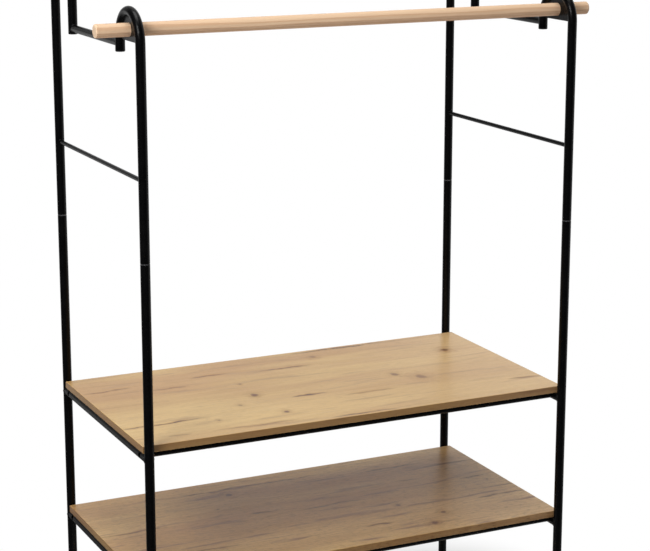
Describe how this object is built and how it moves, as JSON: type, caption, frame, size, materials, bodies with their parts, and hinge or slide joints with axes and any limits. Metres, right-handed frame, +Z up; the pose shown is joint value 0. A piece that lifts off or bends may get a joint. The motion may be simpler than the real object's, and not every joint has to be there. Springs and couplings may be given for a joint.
{
  "type": "clothes rack",
  "caption": "Free-standing clothes rack: hooked black tube side frames, a wooden hanging rod low in front and one high behind, oak-look shelves and levelling feet.",
  "frame": {"origin": "on the floor, midway between the four posts", "axes": "+Z up, +X from the left side frame to the right one along the rods, +Y from the front to the back"},
  "size_m": [0.9, 0.448, 1.6499],
  "materials": {
    "black_frame": "satin black powder coat",
    "bare_steel": "zinc-plated steel",
    "oak_board": "satin oak-look board with the grain along its length",
    "pine_rod": "sanded pale pine",
    "black_plastic": "matt black moulded plastic"
  },
  "bodies": {
    "rack": {"back_hanging_rod": "pine_rod", "front_hanging_rod": "pine_rod", "left_back_foot_insert": "black_plastic", "left_back_hook_plate": "black_frame", "left_back_hook_plug": "black_plastic", "left_back_hooked_post": "black_frame", "left_back_lower_post": "black_frame", "left_back_seam_spigot": "bare_steel", "left_front_foot_insert": "black_plastic", "left_front_hook_plate": "black_frame", "left_front_hook_plug": "black_plastic", "left_front_hooked_post": "black_frame", "left_front_lower_post": "black_frame", "left_front_seam_spigot": "bare_steel", "left_link_bar": "black_frame", "left_lower_shelf_tube": "black_frame", "left_rung": "black_frame", "left_upper_shelf_tube": "black_frame", "lower_back_long_bar": "black_frame", "lower_board_screws": "bare_steel", "lower_front_long_bar": "black_frame", "lower_long_bar_bolts": "bare_steel", "lower_long_bar_nuts": "bare_steel", "lower_shelf_board": "oak_board", "right_back_foot_insert": "black_plastic", "right_back_hook_plate": "black_frame", "right_back_hook_plug": "black_plastic", "right_back_hooked_post": "black_frame", "right_back_lower_post": "black_frame", "right_back_seam_spigot": "bare_steel", "right_front_foot_insert": "black_plastic", "right_front_hook_plate": "black_frame", "right_front_hook_plug": "black_plastic", "right_front_hooked_post": "black_frame", "right_front_lower_post": "black_frame", "right_front_seam_spigot": "bare_steel", "right_link_bar": "black_frame", "right_lower_shelf_tube": "black_frame", "right_rung": "black_frame", "right_upper_shelf_tube": "black_frame", "upper_back_long_bar": "black_frame", "upper_board_screws": "bare_steel", "upper_front_long_bar": "black_frame", "upper_long_bar_bolts": "bare_steel", "upper_long_bar_nuts": "bare_steel", "upper_shelf_board": "oak_board"},
    "left_front_foot": {"left_front_foot_pad": "black_plastic", "left_front_foot_stud": "bare_steel"},
    "left_back_foot": {"left_back_foot_pad": "black_plastic", "left_back_foot_stud": "bare_steel"},
    "right_front_foot": {"right_front_foot_pad": "black_plastic", "right_front_foot_stud": "bare_steel"},
    "right_back_foot": {"right_back_foot_pad": "black_plastic", "right_back_foot_stud": "bare_steel"}
  },
  "joints": [
    {"name": "left_front_foot_screw", "type": "slide", "parent": "rack", "child": "left_front_foot", "axis": [0, 0, -1], "range_m": [0, 0.012]},
    {"name": "left_back_foot_screw", "type": "slide", "parent": "rack", "child": "left_back_foot", "axis": [0, 0, -1], "range_m": [0, 0.012]},
    {"name": "right_front_foot_screw", "type": "slide", "parent": "rack", "child": "right_front_foot", "axis": [0, 0, -1], "range_m": [0, 0.012]},
    {"name": "right_back_foot_screw", "type": "slide", "parent": "rack", "child": "right_back_foot", "axis": [0, 0, -1], "range_m": [0, 0.012]}
  ]
}
